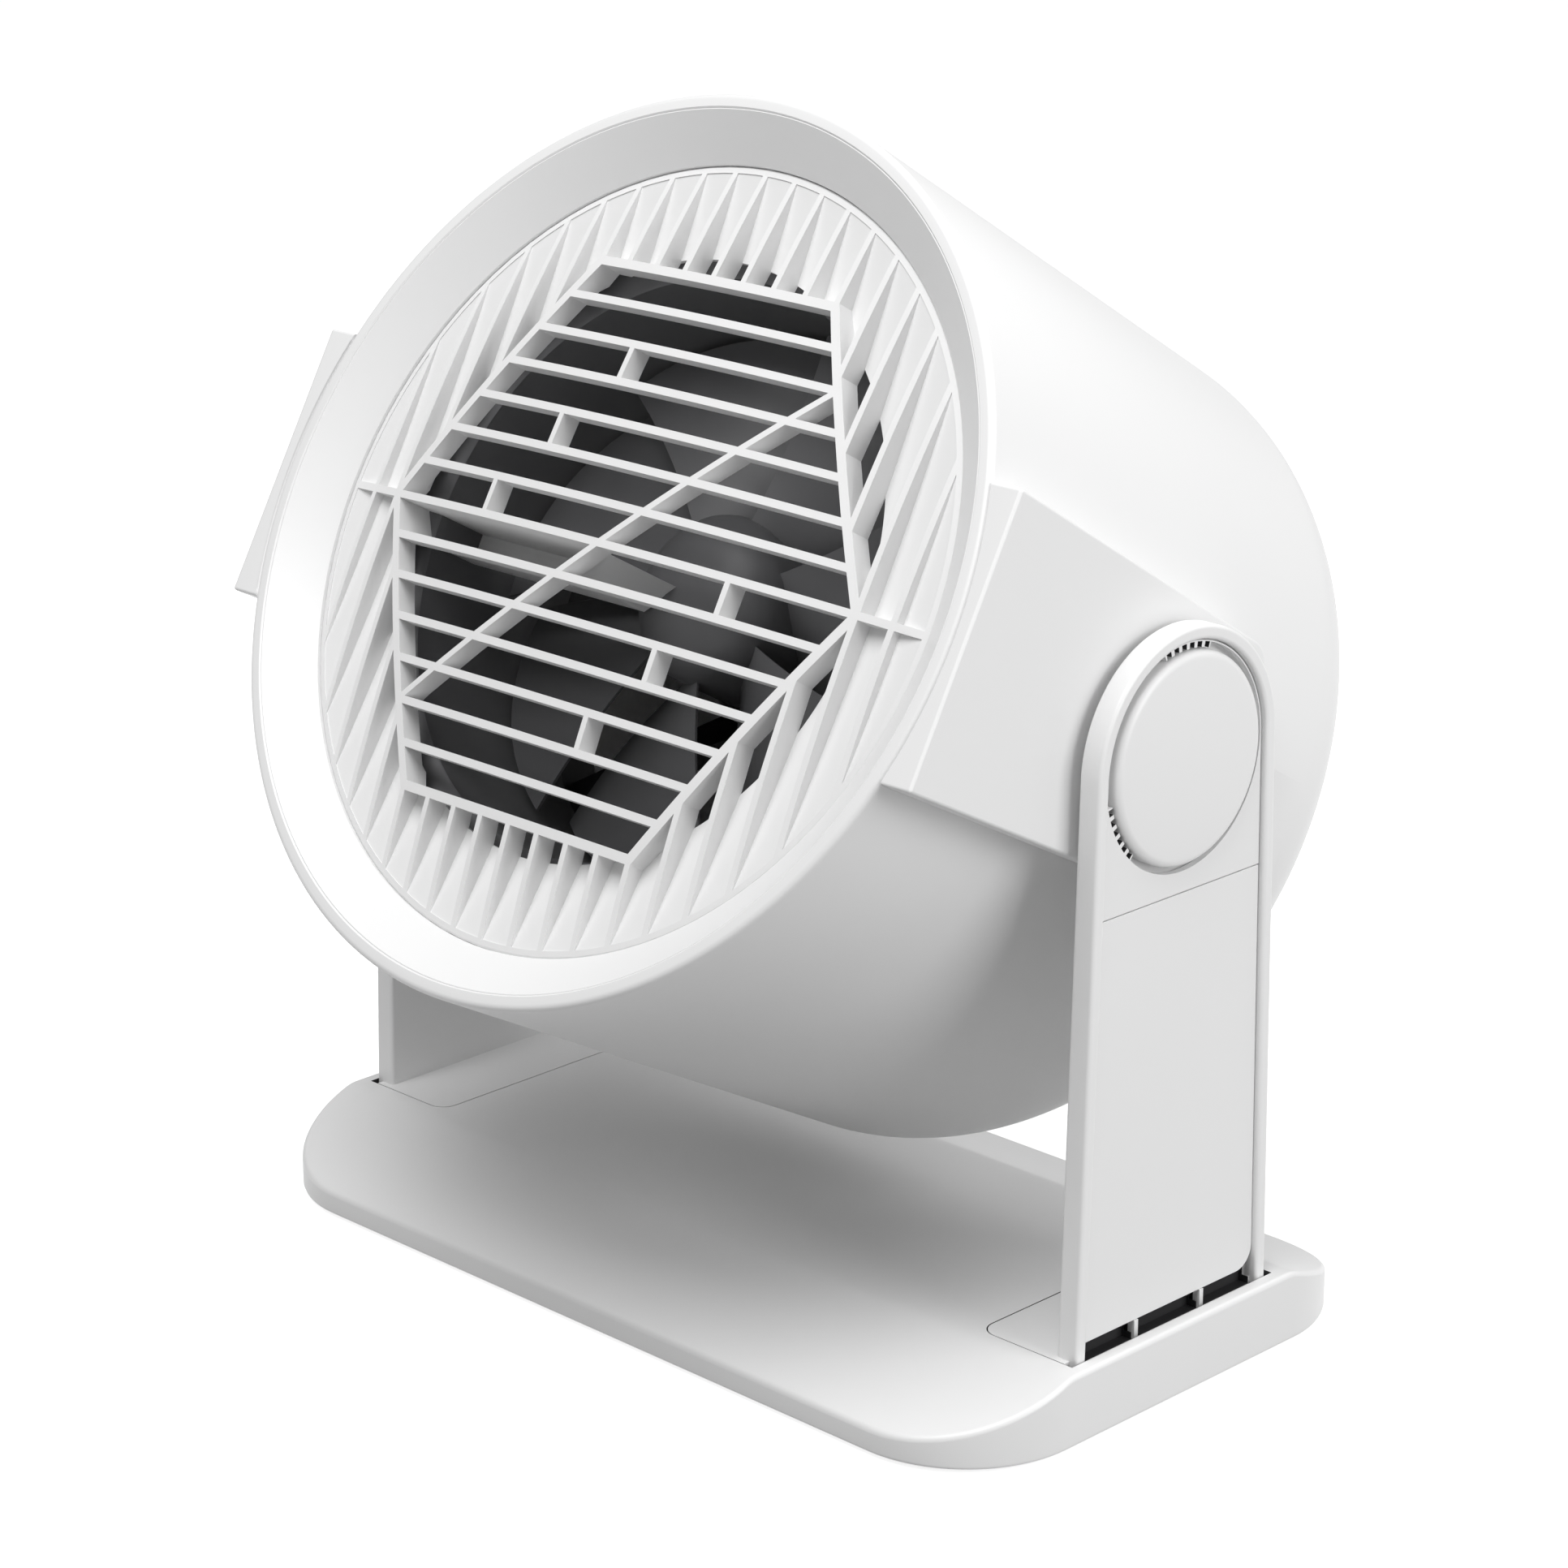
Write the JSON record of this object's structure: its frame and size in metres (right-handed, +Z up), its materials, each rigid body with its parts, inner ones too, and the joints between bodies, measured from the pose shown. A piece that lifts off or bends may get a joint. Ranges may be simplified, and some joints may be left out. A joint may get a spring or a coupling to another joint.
{
  "type": "desk fan",
  "caption": "White drum-shaped desk fan tilting between side arms on a low base, with a hexagon-pattern front grille.",
  "frame": {"origin": "centre of the non-slip pad's underside, on the desk surface", "axes": "+X right, the fan's front faces -Y, +Z up"},
  "size_m": [0.2292, 0.2199, 0.2632],
  "materials": {
    "shell_white": "satin",
    "grille_white": "satin",
    "fan_grey": "satin",
    "inner_dark": "matte",
    "steel": "satin",
    "rubber_grey": "matte",
    "board_green": "satin"
  },
  "bodies": {
    "stand": {"arm_left": "shell_white", "arm_left_lower_cover": "shell_white", "arm_left_upper_cover": "shell_white", "arm_right": "shell_white", "arm_right_lower_cover": "shell_white", "arm_right_upper_cover": "shell_white", "base_bottom": "inner_dark", "base_pad": "rubber_grey", "base_shell": "shell_white", "base_weight": "steel", "bottom_screw_1": "steel", "bottom_screw_2": "steel", "bottom_screw_3": "steel", "bottom_screw_4": "steel", "control_board": "board_green", "foot_screw_left_1": "steel", "foot_screw_left_2": "steel", "foot_screw_right_1": "steel", "foot_screw_right_2": "steel", "power_inlet": "steel"},
    "head": {"button_switch": "inner_dark", "drum_shell": "shell_white", "flow_guide": "fan_grey", "front_cone": "shell_white", "front_grille": "grille_white", "motor_body": "steel", "motor_mount": "inner_dark", "motor_screw_1": "steel", "motor_screw_2": "steel", "motor_screw_3": "steel", "pivot_cap_left": "shell_white", "pivot_cap_right": "shell_white", "pivot_nut_left": "steel", "pivot_nut_right": "steel", "pivot_stub_left": "steel", "pivot_stub_right": "steel", "pivot_washer_left": "rubber_grey", "pivot_washer_right": "rubber_grey", "rear_grille": "grille_white", "side_pod_left": "shell_white", "side_pod_right": "shell_white"},
    "fan": {"impeller": "fan_grey", "impeller_clip": "steel", "motor_shaft": "steel"},
    "button": {"power_button": "shell_white"}
  },
  "joints": [
    {"name": "head_tilt", "type": "hinge", "parent": "stand", "child": "head", "pos_m": [0, 0, 0.1409], "axis": [-1, 0, 0], "range_deg": [-44.65, 60.35]},
    {"name": "fan_spin", "type": "hinge", "parent": "head", "child": "fan", "pos_m": [0, -0.02084, 0.15483], "axis": [0, -0.8691, 0.4947], "continuous": true},
    {"name": "button_press", "type": "slide", "parent": "head", "child": "button", "axis": [0, -0.8691, 0.4947], "range_m": [0, 0.0015], "stiffness_N_per_m": 400}
  ]
}
